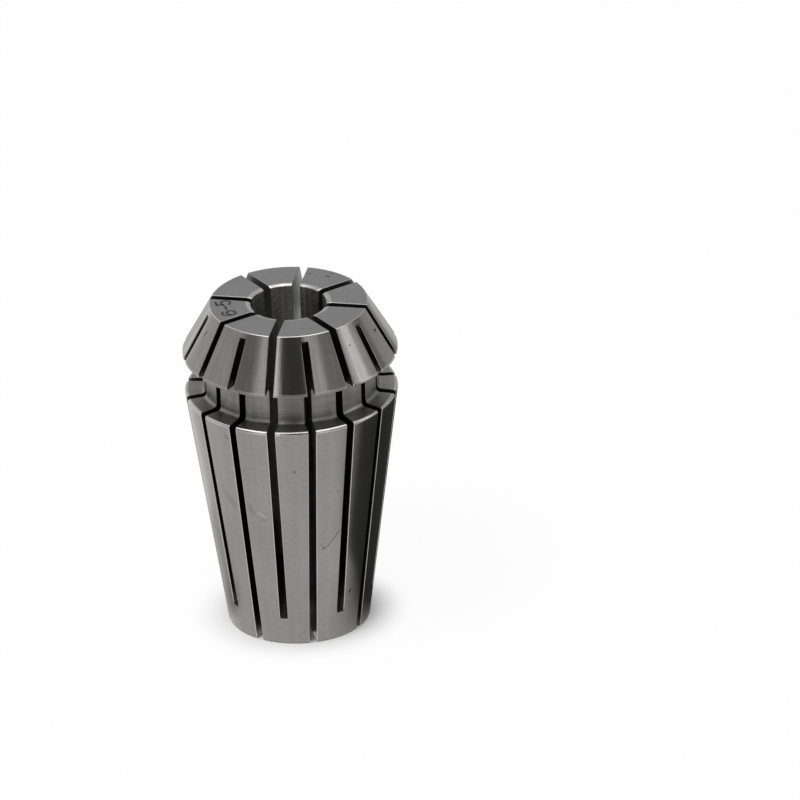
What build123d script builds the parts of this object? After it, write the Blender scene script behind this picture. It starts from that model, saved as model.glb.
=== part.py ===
from build123d import *
import os
from math import cos, radians, sin, sqrt, tan

os.makedirs("parts", exist_ok=True)

# An ER16 spring collet for 6 mm shanks: one hardened and ground piece of spring
# steel. The origin is the centre of the back face and +Z runs to the nose.
# All sizes are in millimetres and degrees.

# Lengths along the axis
collet_length = 27.5
nose_length = 4.0
head_band_length = 0.26
groove_width = 3.12
shoulder_rise = 0.08

# Diameters
head_diameter = 17.0
front_face_diameter = 12.5
neck_diameter = 13.8
body_diameter = 16.86
bore_diameter = 6.0

# Half angle of the seating taper
taper_angle = 8.0

# Edge breaks and rounds
face_edge_break = 0.06
shoulder_edge_break = 0.14
back_edge_break = 0.1
neck_corner_radius = 0.35
bore_mouth_width = 0.42
bore_mouth_depth = 0.12
bore_back_chamfer = 0.3

# Saw slots: one set opens at the nose, the other at the back, half a pitch apart
slots_each_end = 8
front_slot_width = 0.62
back_slot_width = 0.58
front_slot_stop = 2.4
back_slot_stop = 0.42
saw_diameter = 63.0
saw_past_axis = 1.5
saw_clearance = 1.0

# Radii and heights that follow from the sizes above
head_radius = head_diameter / 2
front_face_radius = front_face_diameter / 2
neck_radius = neck_diameter / 2
body_radius = body_diameter / 2
bore_radius = bore_diameter / 2
nose_start = collet_length - nose_length
neck_top = nose_start - head_band_length
shoulder_height = neck_top - groove_width
taper_top = shoulder_height - shoulder_edge_break


def taper_radius(height):
    """Radius of the seating taper at a height above the back face."""
    return body_radius - (taper_top - height) * tan(radians(taper_angle))


def nose_radius(height):
    """Radius of the nose cone at a height above the back face."""
    spread = (head_radius - front_face_radius) / nose_length
    return front_face_radius + (collet_length - height) * spread


# The saw's rim is an arc in the slot's own plane. Its lowest point runs past the
# axis inside the open bore, so a slot cuts one wall only and ends on that arc.
saw_radius = saw_diameter / 2
saw_floor = -saw_past_axis
saw_centre_radius = saw_floor + saw_radius
outside_radius = head_radius + saw_clearance


def saw_reach(radius):
    """Axial distance from the saw's centre to its rim at a radius of the collet."""
    return sqrt(saw_radius**2 - (saw_centre_radius - radius) ** 2)


def slot_planes(first_angle):
    """Radial planes of one set of slots, with X outwards and Y along the axis."""
    pitch = 360 / slots_each_end
    planes = []
    for index in range(slots_each_end):
        turn = radians(first_angle + index * pitch)
        outwards = (cos(turn), sin(turn), 0)
        sideways = (sin(turn), -cos(turn), 0)
        planes.append(Plane(origin=(0, 0, 0), x_dir=outwards, z_dir=sideways))
    return planes


front_stop_radius = taper_radius(front_slot_stop)
front_saw_height = front_slot_stop + saw_reach(front_stop_radius)

back_stop_height = collet_length - back_slot_stop
back_stop_radius = nose_radius(back_stop_height)
back_saw_height = back_stop_height - saw_reach(back_stop_radius)

with BuildPart() as collet:
    # Turned and ground blank: half section turned about the axis
    with BuildSketch(Plane.XZ) as section:
        with BuildLine() as outline:
            Polyline(
                (bore_radius + bore_back_chamfer, 0),
                (taper_radius(0) - back_edge_break, 0),
                (taper_radius(back_edge_break), back_edge_break),
                (body_radius, taper_top),
                (body_radius - shoulder_edge_break, shoulder_height),
                (neck_radius, shoulder_height + shoulder_rise),
                (neck_radius, neck_top),
                (head_radius, neck_top),
                (head_radius, nose_start),
                (nose_radius(collet_length - face_edge_break), collet_length - face_edge_break),
                (front_face_radius - face_edge_break, collet_length),
                (bore_radius + bore_mouth_width, collet_length),
                (bore_radius, collet_length - bore_mouth_depth),
                (bore_radius, bore_back_chamfer),
                close=True,
            )
        make_face()
        # Rounded corners of the groove that takes the nut's ring
        neck_corners = section.vertices().filter_by_position(Axis.X, neck_radius, neck_radius)
        fillet(neck_corners, neck_corner_radius)
    revolve(axis=Axis.Z)

    # Slots that open at the nose and stop short of the back face
    with BuildSketch(*slot_planes(0)) as front_slot:
        with BuildLine() as front_saw_path:
            front_rim = ThreePointArc(
                (outside_radius, front_saw_height - saw_reach(outside_radius)),
                (front_stop_radius, front_slot_stop),
                (saw_floor, front_saw_height),
            )
            Polyline(
                front_rim @ 1,
                (saw_floor, collet_length + saw_clearance),
                (outside_radius, collet_length + saw_clearance),
                front_rim @ 0,
            )
        make_face()
    extrude(amount=front_slot_width / 2, both=True, mode=Mode.SUBTRACT)

    # Slots that open at the back and stop just under the front face
    with BuildSketch(*slot_planes(180 / slots_each_end)) as back_slot:
        with BuildLine() as back_saw_path:
            back_rim = ThreePointArc(
                (outside_radius, back_saw_height + saw_reach(outside_radius)),
                (back_stop_radius, back_stop_height),
                (saw_floor, back_saw_height),
            )
            Polyline(
                back_rim @ 1,
                (saw_floor, -saw_clearance),
                (outside_radius, -saw_clearance),
                back_rim @ 0,
            )
        make_face()
    extrude(amount=back_slot_width / 2, both=True, mode=Mode.SUBTRACT)

collet.part.label = "collet"
export_step(collet.part, "parts/collet.step")
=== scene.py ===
"""Looks of an ER16 spring collet: one slit, hardened and ground piece of spring steel."""

import logging
import math
from dataclasses import dataclass, field, replace
from enum import Enum
from typing import Any, Optional

import bmesh
import bpy
from bmesh.types import BMesh, BMVert
from bpy.types import Material, Mesh, Node, NodeSocket, NodeTree, Object
from mathutils import Matrix, Vector


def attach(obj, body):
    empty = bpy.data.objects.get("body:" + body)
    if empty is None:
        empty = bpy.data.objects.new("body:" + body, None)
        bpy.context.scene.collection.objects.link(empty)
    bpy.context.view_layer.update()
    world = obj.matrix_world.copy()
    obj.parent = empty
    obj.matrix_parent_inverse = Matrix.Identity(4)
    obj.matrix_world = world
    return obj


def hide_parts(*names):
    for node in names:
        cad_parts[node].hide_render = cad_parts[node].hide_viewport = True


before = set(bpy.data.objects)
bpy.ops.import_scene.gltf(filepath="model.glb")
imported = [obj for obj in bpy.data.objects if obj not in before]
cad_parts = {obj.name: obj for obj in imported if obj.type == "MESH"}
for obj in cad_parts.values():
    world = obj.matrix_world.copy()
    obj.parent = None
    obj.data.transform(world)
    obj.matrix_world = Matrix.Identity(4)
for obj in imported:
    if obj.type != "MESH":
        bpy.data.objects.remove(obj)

LOG = logging.getLogger("collet")

MM = 0.001
UP = Vector((0.0, 0.0, 1.0))
CAD_NODE = "collet"
BODY = "root"

MATH, VECTOR = "ShaderNodeMath", "ShaderNodeVectorMath"
RANGE, MIX, NOISE = "ShaderNodeMapRange", "ShaderNodeMix", "ShaderNodeTexNoise"


class Region(Enum):
    """Surfaces of the collet that were made in different ways, in material slot order."""

    GROUND = 0
    TURNED = 1
    FACED = 2
    BORE = 3
    SAWN = 4
    EDGE = 5
    KERF_END = 6
    NOSE = 7


class Cut(Enum):
    """How a saw slot meets the section at one station."""

    WHOLE = 0
    STOP = 1
    OPEN = 2


@dataclass
class Corner:
    """A corner of the half section, in millimetres from the axis and the back face."""

    radius: float
    height: float
    rounding: float
    region: Region
    rim: Optional[Region] = None


@dataclass
class Station:
    """A point of the half section with its outward normal, where a row of vertices stands."""

    radius: float
    height: float
    out_radial: float
    out_axial: float
    region: Region


@dataclass
class SawSlot:
    """One of the saw cuts: a kerf whose end is the arc of the saw's rim.

    Its sense is plus one where it opens at the nose, and minus one at the back.
    """

    width: float
    stop_radius: float
    stop_height: float
    sense: float
    saw_radius: float = 31.5
    past_axis: float = 1.5
    on_rim: float = 1e-4

    def reach(self, radius: float) -> float:
        """Axial distance from the saw's centre to its rim at a radius of the collet."""
        offset = self.saw_radius - self.past_axis - radius
        return math.sqrt(self.saw_radius**2 - offset**2)

    def end_height(self, radius: float) -> float:
        """Height at which the slot ends, at a radius of the collet."""
        saw_height = self.stop_height + self.sense * self.reach(self.stop_radius)
        return saw_height - self.sense * self.reach(radius)

    def past_end(self, spot: Station) -> float:
        """How far a station is inside the slot's open length; negative in the bridge."""
        return self.sense * (spot.height - self.end_height(spot.radius))

    def cut_at(self, spot: Station) -> Cut:
        """Says whether the slot is open, stops or is absent at a station."""
        depth = self.past_end(spot)
        return Cut.STOP if abs(depth) < self.on_rim else Cut.OPEN if depth > 0.0 else Cut.WHOLE


@dataclass
class ColletForm:
    """Sizes of the collet in millimetres, and the half section that follows from them."""

    length: float = 27.5
    nose_length: float = 4.0
    band_length: float = 0.26
    groove_width: float = 3.12
    shoulder_rise: float = 0.08
    head_diameter: float = 17.0
    face_diameter: float = 12.5
    neck_diameter: float = 13.8
    body_diameter: float = 16.86
    bore_diameter: float = 6.0
    taper_angle: float = 8.0
    shoulder_break: float = 0.14
    mouth_width: float = 0.3
    mouth_depth: float = 0.1
    back_chamfer: float = 0.3
    chamfer_round: float = 0.08
    back_round: float = 0.1
    shoulder_round: float = 0.26
    neck_corner: float = 0.35
    band_back_round: float = 0.07
    band_front_round: float = 0.08
    face_round: float = 0.1
    mouth_round: float = 0.5
    bore_round: float = 0.07
    mark_relief: float = 0.003
    slots_each_end: int = 8
    front_slot_width: float = 0.62
    back_slot_width: float = 0.58
    front_stop: float = 2.4
    back_stop: float = 0.42

    def taper_radius(self, height: float) -> float:
        """Radius of the seating taper at a height."""
        drop = self.shoulder_height - self.shoulder_break - height
        return self.body_diameter / 2 - drop * math.tan(math.radians(self.taper_angle))

    def nose_radius(self, height: float) -> float:
        """Radius of the nose cone at a height."""
        spread = (self.head_diameter - self.face_diameter) / 2 / self.nose_length
        return self.face_diameter / 2 + (self.length - height) * spread

    @property
    def shoulder_height(self) -> float:
        """Height of the shoulder's edge above the back face."""
        return self.length - self.nose_length - self.band_length - self.groove_width

    def corners(self) -> list[Corner]:
        """Works out the half section.

        Returns:
            Its corners, from the bore's back edge outwards and round.
        """
        bore, neck = self.bore_diameter / 2, self.neck_diameter / 2
        head, face = self.head_diameter / 2, self.face_diameter / 2
        nose_start = self.length - self.nose_length
        neck_top = nose_start - self.band_length
        shoulder = self.shoulder_height
        front = self.length - self.mark_relief
        neck_low = shoulder + self.shoulder_rise
        # Rims and the mouth marked edge take the lighter edge steel, a painted highlight.
        turned, edge = Region.TURNED, Region.EDGE
        return [
            Corner(bore, self.back_chamfer, self.chamfer_round, Region.BORE),
            Corner(bore + self.back_chamfer, 0.0, self.chamfer_round, Region.FACED),
            Corner(self.taper_radius(0.0), 0.0, self.back_round, Region.GROUND),
            Corner(self.taper_radius(shoulder), shoulder, self.shoulder_round, turned, edge),
            Corner(neck, neck_low, self.neck_corner, turned),
            Corner(neck, neck_top, self.neck_corner, turned),
            Corner(head, neck_top, self.band_back_round, Region.GROUND),
            Corner(head, nose_start, self.band_front_round, Region.NOSE, edge),
            Corner(face, front, self.face_round, Region.FACED, edge),
            Corner(bore + self.mouth_width, front, self.mouth_round, edge),
            Corner(bore, front - self.mouth_depth, self.bore_round, Region.BORE),
        ]

    def slots(self) -> tuple[SawSlot, SawSlot]:
        """The kerf that opens at the nose, and the one that opens at the back face."""
        low, high = self.front_stop, self.length - self.back_stop
        return (
            SawSlot(self.front_slot_width, self.taper_radius(low), low, 1.0),
            SawSlot(self.back_slot_width, self.nose_radius(high), high, -1.0),
        )


@dataclass
class Section:
    """The half section as a closed ring of stations."""

    form: ColletForm
    row_spacing: float = 0.9
    round_steps: int = 4
    most_trimmed: float = 0.45
    parallel: float = 1e-9
    halvings: int = 40
    stations: list[Station] = field(default_factory=list)

    def build(self) -> None:
        """Lays stations along the rounded outline and adds those where slots end."""
        corners = self.form.corners()
        places = [Vector((corner.radius, corner.height)) for corner in corners]
        sides = []
        for corner, before, here, after in zip(
            corners, [places[-1], *places], places, [*places[1:], places[0]]
        ):
            into, out = (here - before).normalized(), (after - here).normalized()
            trim = min(
                corner.rounding * abs(math.tan(into.angle_signed(out) / 2)),
                self.most_trimmed * (here - before).length,
                self.most_trimmed * (after - here).length,
            )
            sides.append(((here - into * trim, into), (here + out * trim, out)))
        for corner, (start, end), (onward, _) in zip(corners, sides, [*sides[1:], sides[0]]):
            self._lay_round(start, end, corner)
            gap = onward[0] - end[0]
            count = max(1, round(gap.length / self.row_spacing))
            for step in range(1, count):
                self._add(end[0] + gap * (step / count), end[1], corner.region)
        for slot in self.form.slots():
            pairs = list(zip(self.stations, [*self.stations[1:], self.stations[0]]))
            self.stations = [spot for pair in pairs for spot in self._up_to_rim(slot, *pair)]

    def _add(self, point: Vector, along: Vector, region: Region) -> None:
        """Adds a station at a point, with its normal to the right of the way along."""
        self.stations.append(Station(point.x, point.y, along.y, -along.x, region))

    def _lay_round(self, start: tuple, end: tuple, corner: Corner) -> None:
        """Lays stations round one corner, on a curve that is tangent to both sides.

        Args:
            start: Where the first side stops, and its direction.
            end: Where the next side starts, and its direction.
            corner: The corner, whose rim may have a finish of its own.
        """
        gap = end[0] - start[0]
        cross = start[1].x * end[1].y - start[1].y * end[1].x
        peak = (start[0] + end[0]) / 2
        if abs(cross) >= self.parallel:
            peak = start[0] + start[1] * ((gap.x * end[1].y - gap.y * end[1].x) / cross)
        for step in range(self.round_steps + 1):
            share = step / self.round_steps
            rest = 1 - share
            point = start[0] * rest**2 + peak * 2 * share * rest + end[0] * share**2
            along = (start[1] * rest + end[1] * share).normalized()
            on_rim = corner.rim is not None and step < self.round_steps
            self._add(point, along, corner.rim if on_rim else corner.region)

    def _up_to_rim(self, slot: SawSlot, here: Station, after: Station) -> list[Station]:
        """Halves the way between two stations until it meets the saw's rim.

        Args:
            slot: The slot that the saw cuts.
            here: A station.
            after: The next one.

        Returns:
            The first station and, where the rim lies between the two, one on the rim.
        """
        if slot.past_end(here) * slot.past_end(after) >= 0.0:
            return [here]
        low, high = 0.0, 1.0
        for _ in range(self.halvings):
            share = (low + high) / 2
            radius = here.radius + (after.radius - here.radius) * share
            height = here.height + (after.height - here.height) * share
            found = replace(here, radius=radius, height=height)
            if slot.past_end(found) * slot.past_end(here) > 0.0:
                low = share
            else:
                high = share
        return [here, found]


def clamped(share: float) -> float:
    """A share, kept from 0 to 1."""
    return max(0.0, min(1.0, share))


def eased(share: float) -> float:
    """A share, kept from 0 to 1 and eased at both ends."""
    return clamped(share) ** 2 * (3.0 - 2.0 * clamped(share))


def place_object(name: str, data: Any) -> Object:
    """Makes an object of a mesh, lamp or camera.

    Args:
        name: Name of the object.
        data: What the object shows.

    Returns:
        The object, linked to the scene at the origin.
    """
    made = bpy.data.objects.new(name, data)
    bpy.context.scene.collection.objects.link(made)
    return made


def as_mesh(shell: BMesh, name: str) -> Mesh:
    """Turns a working shell into a mesh.

    Args:
        shell: The shell, which is freed.
        name: Name of the mesh.

    Returns:
        The new mesh.
    """
    mesh = bpy.data.meshes.new(name)
    shell.to_mesh(mesh)
    shell.free()
    return mesh


@dataclass
class HalfSegment:
    """Half of one finger pair: the metal between a nose slot and the next back slot.

    Side 0 is the nose slot's, side 1 the back slot's. The edges along a slot are broken
    by a width that grows near the bore's mouth and fades out at the slot's end.
    """

    form: ColletForm
    columns: int = 7
    edge_break: float = 0.06
    mouth_break: float = 0.14
    mouth_depth: float = 1.0
    mouth_radius: float = 3.9
    mouth_fade: float = 0.8
    stop_fade: float = 0.4
    break_steps: int = 3
    floor_rows: int = 14
    across_kerf: tuple[float, ...] = (0.0, 0.5, 1.0)
    coincident: float = 1e-7

    def build(self) -> Object:
        """Makes the half segment as an open mesh that closes when it is mirrored.

        Returns:
            An object whose mesh lies between the two slot planes.
        """
        section = Section(self.form)
        section.build()
        self.stations = section.stations
        self.slots = self.form.slots()
        self.half_pitch = math.pi / self.form.slots_each_end
        self.mesh = bmesh.new()
        self.marks = self.mesh.faces.layers.int.new("region")
        self.leans = self.mesh.verts.layers.float_vector.new("lean")
        self.grid: dict[tuple, BMVert] = {}
        self.cuts = [[slot.cut_at(spot) for spot in self.stations] for slot in self.slots]
        self.breaks = [self._edge_breaks(side) for side in (0, 1)]
        self._skin()
        for side in (0, 1):
            self._slot_side(side)
        bmesh.ops.remove_doubles(self.mesh, verts=self.mesh.verts, dist=self.coincident)
        bmesh.ops.scale(self.mesh, vec=(MM, MM, MM), verts=self.mesh.verts)
        return place_object("half_segment", as_mesh(self.mesh, "half_segment"))

    def _edge_breaks(self, side: int) -> list[float]:
        """Works out how wide the broken edge along a slot is.

        Args:
            side: Number of the slot.

        Returns:
            Its width at each station, nothing at the slot's stops and in the bridge.
        """
        places = [(spot.radius, spot.height) for spot in self.stations]
        stops = [place for place, cut in zip(places, self.cuts[side]) if cut is Cut.STOP]
        widths = []
        for (radius, height), cut in zip(places, self.cuts[side]):
            width = self.edge_break
            if side == 0 and height > self.form.length - self.mouth_depth:
                near = clamped((self.mouth_radius - radius) / self.mouth_fade)
                width += (self.mouth_break - width) * near
            gap = min(math.dist((radius, height), stop) for stop in stops)
            width *= min(1.0, gap / self.stop_fade)
            widths.append(width if cut is Cut.OPEN else 0.0)
        return widths

    def _point(self, side: int, radius: float, offset: float, height: float) -> tuple:
        """Finds a point from its distances to a slot's plane, the axis and the back.

        Args:
            side: Number of the slot.
            radius: Distance to the axis.
            offset: Distance to the slot's middle plane.
            height: Height above the back face.

        Returns:
            Its coordinates, where the nose slot's plane is the XZ plane.
        """
        along = math.sqrt(max(radius * radius - offset * offset, 0.0))
        if side == 0:
            return (along, offset, height)
        cos, sin = math.cos(self.half_pitch), math.sin(self.half_pitch)
        return (along * cos + offset * sin, along * sin - offset * cos, height)

    def _vertex(
        self, key: tuple, place: tuple, spot: Optional[Station] = None, turn: float = 0.0
    ) -> BMVert:
        """Looks up a vertex, and makes it the first time it is asked for.

        Args:
            key: What tells the vertex from the others.
            place: Where it stands.
            spot: Station whose normal it takes, none in a slot's floor.
            turn: How far its normal has turned from the skin's to the slot wall's.

        Returns:
            The vertex, with its normal's outward, upward and slotward parts as its lean.
        """
        if key not in self.grid:
            made = self.grid[key] = self.mesh.verts.new(place)
            if spot:
                skin = math.cos(turn)
                lean = (spot.out_radial * skin, spot.out_axial * skin, math.sin(turn))
                made[self.leans] = lean
        return self.grid[key]

    def _face(self, corners: list[BMVert], region: Region) -> None:
        """Adds a face, unless its corners fall together.

        Args:
            corners: Its corners in order.
            region: How its surface was made.
        """
        kept = []
        for corner in corners:
            if all((corner.co - other.co).length > self.coincident for other in kept):
                kept.append(corner)
        if len(kept) > 2 and self.mesh.faces.get(kept) is None:
            made = self.mesh.faces.new(kept)
            made[self.marks] = region.value
            made.smooth = True

    def _strip(self, row: list[BMVert], after: list[BMVert], region: Region) -> None:
        """Joins two rows of vertices with four-sided faces."""
        for left, right in zip(range(len(row)), range(1, len(row))):
            self._face([row[left], row[right], after[right], after[left]], region)

    def _rail(self, side: int, index: int, step: int) -> BMVert:
        """Finds a vertex of the rounded edge between the skin and a slot's wall.

        Args:
            side: Number of the slot.
            index: Number of the station.
            step: How many steps it is from the skin.

        Returns:
            The vertex, which is the skin's own where the edge is not broken.
        """
        spot, width = self.stations[index], self.breaks[side][index]
        step = step if width else 0
        turn = math.pi / 2 * step / self.break_steps
        offset = self.slots[side].width / 2 + width * (1 - math.sin(turn))
        inset = min(width, self.edge_break) * (1 - math.cos(turn))
        radius = spot.radius - spot.out_radial * inset
        height = spot.height - spot.out_axial * inset
        place = self._point(side, radius, offset, height)
        return self._vertex((side, index, "rail", step), place, spot, turn)

    def _bridge(self, side: int, index: int) -> list[BMVert]:
        """Finds the vertices across half of a slot's bridge.

        Args:
            side: Number of the slot.
            index: Number of the station.

        Returns:
            The row, from the slot's middle plane to its edge.
        """
        spot, half = self.stations[index], self.slots[side].width / 2
        row = []
        for step, part in enumerate(self.across_kerf[:-1]):
            place = self._point(side, spot.radius, half * part, spot.height)
            row.append(self._vertex((side, index, "bridge", step), place, spot))
        return row + [self._rail(side, index, 0)]

    def _finger(self, index: int) -> list[BMVert]:
        """Finds the vertices across the finger at one station.

        Args:
            index: Number of the station.

        Returns:
            The row between the two slots' edges, without the edges.
        """
        spot, edges = self.stations[index], [self._rail(side, index, 0).co for side in (0, 1)]
        start, end = (math.atan2(edge.y, edge.x) for edge in edges)
        row = []
        for column in range(1, self.columns):
            turn = start + (end - start) * column / self.columns
            place = (spot.radius * math.cos(turn), spot.radius * math.sin(turn), spot.height)
            row.append(self._vertex(("skin", index, column), place, spot))
        return row

    def _skin(self) -> None:
        """Covers the turned surface of the finger and of the bridges."""
        count = len(self.stations)
        for here in range(count):
            pair = (here, (here + 1) % count)
            rows = [[], []]
            for row, index in zip(rows, pair):
                ends = []
                for side, cuts in enumerate(self.cuts):
                    if Cut.OPEN in (cuts[pair[0]], cuts[pair[1]]):
                        ends.append([self._rail(side, index, 0)])
                    else:
                        ends.append(self._bridge(side, index))
                row += [*ends[0], *self._finger(index), *reversed(ends[1])]
            self._strip(*rows, self.stations[here].region)

    def _open_length(self, side: int) -> list[int]:
        """Finds the stations along a slot's open length.

        Args:
            side: Number of the slot.

        Returns:
            Their numbers, with the slot's stop at each end.
        """
        cuts, count = self.cuts[side], len(self.stations)
        pairs = enumerate(zip(cuts, [*cuts[1:], cuts[0]]))
        start = next(index for index, pair in pairs if pair == (Cut.STOP, Cut.OPEN))
        turned = [*range(start, count), *range(start)]
        length = next(n for n in range(1, count) if cuts[turned[n]] is not Cut.OPEN)
        return turned[: length + 1]

    def _slot_side(self, side: int) -> None:
        """Makes the rounded edges, the wall and the curved end of a slot.

        Args:
            side: Number of the slot.
        """
        order = self._open_length(side)
        for here, after in zip(order, order[1:]):
            region = self.stations[here].region
            # Broken edges on the ground skin take the lighter edge steel, a painted highlight.
            region = Region.EDGE if region is Region.GROUND else region
            for low, high in zip(range(self.break_steps), range(1, self.break_steps + 1)):
                ways = ((here, low), (after, low), (after, high), (here, high))
                self._face([self._rail(side, index, step) for index, step in ways], region)
        slot, rows = self.slots[side], [self._bridge(side, order[0])]
        first, last = self.stations[order[0]].radius, self.stations[order[-1]].radius
        for step in range(1, self.floor_rows):
            radius = first + (last - first) * (step / self.floor_rows)
            height = slot.end_height(radius)
            row = []
            for column, part in enumerate(self.across_kerf):
                offset = slot.width / 2 * part
                place = self._point(side, math.hypot(radius, offset), offset, height)
                row.append(self._vertex((side, "floor", step, column), place))
            rows.append(row)
        rows.append(self._bridge(side, order[-1]))
        # The kerf's curved end takes the nearly black steel, a painted shade.
        for row, after_row in zip(rows, rows[1:]):
            self._strip(row, after_row, Region.KERF_END)
        rim = [self._rail(side, index, self.break_steps) for index in order]
        self._face(rim + [row[-1] for row in rows[-2:0:-1]], Region.SAWN)


def fill(tree: NodeTree, node: Node, inputs: Any) -> None:
    """Sets or links the inputs of a node.

    Args:
        tree: Tree of the node.
        node: The node.
        inputs: Values, sockets or nodes, either by socket name or in the order of the
            sockets in use. A node stands for its first output in use.
    """
    sockets = [socket for socket in node.inputs if socket.enabled]
    if isinstance(inputs, dict):
        sockets, inputs = [node.inputs[name] for name in inputs], inputs.values()
    for socket, value in zip(sockets, inputs):
        if isinstance(value, Node):
            value = next(output for output in value.outputs if output.enabled)
        if isinstance(value, NodeSocket):
            tree.links.new(value, socket)
        else:
            socket.default_value = value


def add_node(tree: NodeTree, kind: str, inputs: Any = (), **settings: Any) -> Node:
    """Adds a node with its settings, socket values and links.

    Args:
        tree: Shader or geometry tree that gets the node.
        kind: Type name of the node.
        inputs: Its inputs, as fill takes them.
        settings: Properties of the node itself.

    Returns:
        The new node.
    """
    made = tree.nodes.new(kind)
    for name, value in settings.items():
        setattr(made, name, value)
    fill(tree, made, inputs)
    return made


def linear(hex_colour: str) -> tuple[float, float, float, float]:
    """Turns an sRGB hex colour such as 8F8E8B into linear RGBA."""
    values = [int(hex_colour[i : i + 2], 16) / 255 for i in (0, 2, 4)]
    return (*[v / 12.92 if v <= 0.04045 else ((v + 0.055) / 1.055) ** 2.4 for v in values], 1.0)


class Kind(Enum):
    """Traces of use and handling on the steel, and painted highlights, each with its colour."""

    DENT = "1E1C1B"
    SMEAR = "6F7079"
    RUBBED_AND_HIGHLIGHT = "BDBDBD"


@dataclass(frozen=True)
class Trace:
    """A pit, scratch, oil smear, rubbed place or painted highlight, as a chain of places
    on the skin.

    A place is its azimuth in degrees from the front, its radius and its height in
    millimetres. One place alone is a round spot.
    """

    kind: Kind
    width: float
    strength: float
    places: tuple[tuple[float, float, float], ...]

    def strokes(self) -> list[tuple[Vector, Vector]]:
        """Start and end of each straight piece of the chain, in millimetres."""
        spots = [toward(turn, 0.0) * radius + UP * height for turn, radius, height in self.places]
        return list(zip(spots, spots[1:])) or [(spots[0], spots[0])]


NOSE_AND_TAPER_TRACES = (
    Trace(Kind.DENT, 0.33, 1.0, ((82.7, 7.14, 25.91),)),
    Trace(Kind.DENT, 0.14, 0.75, ((-59.0, 7.2, 25.85), (-57.3, 6.91, 26.33))),
    Trace(Kind.DENT, 0.14, 0.8, ((53.9, 7.05, 26.07),)),
    Trace(Kind.DENT, 0.12, 0.7, ((-28.2, 8.34, 19.07), (-26.3, 8.30, 18.79))),
    Trace(Kind.DENT, 0.12, 0.6, ((-52.9, 7.74, 14.86), (-50.2, 7.73, 14.74))),
    Trace(Kind.DENT, 0.2, 0.95, ((12.1, 7.97, 16.44),)),
    Trace(Kind.DENT, 0.16, 0.5, ((38.7, 7.62, 13.98),)),
    Trace(
        Kind.DENT, 0.1, 0.7,
        ((41.2, 7.10, 10.30), (33.1, 6.94, 9.11), (29.6, 6.90, 8.87), (28.1, 6.96, 9.29)),
    ),
    Trace(Kind.DENT, 0.18, 0.8, ((33.1, 6.94, 9.11),)),
    Trace(Kind.DENT, 0.19, 0.8, ((29.6, 6.90, 8.87),)),
    Trace(Kind.DENT, 0.2, 0.85, ((52.2, 6.22, 3.99), (53.7, 6.24, 4.17))),
    Trace(Kind.DENT, 0.09, 0.35, ((10.6, 5.74, 0.57), (17.2, 5.87, 1.49))),
    Trace(Kind.SMEAR, 0.45, 0.5, ((-36.6, 7.62, 13.95), (-33.4, 7.54, 13.4))),
    Trace(Kind.SMEAR, 0.6, 0.8, ((-33.0, 7.5, 13.15), (-31.4, 7.49, 12.95))),
    Trace(Kind.SMEAR, 0.5, 0.8, ((-29.6, 7.45, 12.8), (-28.0, 7.41, 12.45))),
    Trace(Kind.SMEAR, 0.5, 0.8, ((-17.3, 7.46, 12.8), (-15.9, 7.39, 12.38))),
    Trace(Kind.SMEAR, 0.35, 0.9, ((-15.0, 7.38, 12.3), (-13.4, 7.37, 12.15))),
    Trace(Kind.RUBBED_AND_HIGHLIGHT, 0.35, 0.5, ((-12.2, 7.36, 12.2), (-9.8, 7.38, 12.25))),
    Trace(Kind.RUBBED_AND_HIGHLIGHT, 0.22, 0.6, ((-9.0, 7.36, 12.1), (-7.6, 7.34, 12.0))),
    Trace(Kind.SMEAR, 0.25, 0.7, ((-10.2, 7.29, 11.65), (-7.2, 7.31, 11.75))),
    Trace(Kind.RUBBED_AND_HIGHLIGHT, 0.13, 0.6, ((37.4, 7.18, 25.85), (39.4, 7.36, 25.54))),
)
NECK_TRACES = (Trace(Kind.DENT, 0.17, 0.9, ((-32.4, 6.90, 21.97),)),)
FACE_TRACES = (
    Trace(Kind.DENT, 0.2, 0.85, ((156.4, 5.24, 27.5), (154.2, 5.36, 27.5))),
    Trace(Kind.DENT, 0.14, 0.5, ((157.4, 5.82, 27.5), (154.4, 5.89, 27.5))),
    Trace(Kind.DENT, 0.16, 0.5, ((174.9, 5.17, 27.5), (171.2, 5.16, 27.5))),
    Trace(Kind.DENT, 0.14, 0.35, ((22.8, 4.94, 27.5), (25.1, 5.11, 27.5))),
    Trace(Kind.DENT, 0.2, 0.5, ((29.9, 5.19, 27.5),)),
)
# A light patch on the far wall of the rear nose slot: a painted highlight.
FAR_WALL_PAINTED_HIGHLIGHT = (Trace(Kind.RUBBED_AND_HIGHLIGHT, 7.5, 0.7, ((180.0, 3.0, 25.0), (180.0, 6.0, 27.0))),)


@dataclass(frozen=True)
class Lay:
    """A set of lines: a line's width in millimetres, its depth in microns and its shade."""

    width: float
    depth: float
    shade: float


@dataclass(frozen=True)
class SpringSteel:
    """Hardened and tempered 65Mn spring steel, with the lay that its last cut left.

    Turning and grinding leave fine lines round the axis, and these spread a reflection
    along the axis. Real ones are a hundredth of a millimetre wide, too fine to show, so
    they are drawn about ten times as wide. Slow waves of the wheel leave soft streaks
    along the axis, each set given by its twist in radians a millimetre and its length.
    Colours and roughnesses are those of clean and of stained steel.
    """

    name: str
    colours: tuple[str, str]
    roughnesses: tuple[float, float]
    anisotropy: float
    lines: Lay
    streaks: Lay
    line_length: float = 2.5
    streak_ways: tuple[tuple[float, float], ...] = ((0.0, 14.0),)
    traces: tuple[Trace, ...] = ()

    def material(self) -> Material:
        """Builds the material of this finish.

        Returns:
            The finished material.
        """
        made = bpy.data.materials.new(self.name)
        made.use_nodes = True
        SteelNodes(self, made.node_tree).build()
        return made


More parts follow.
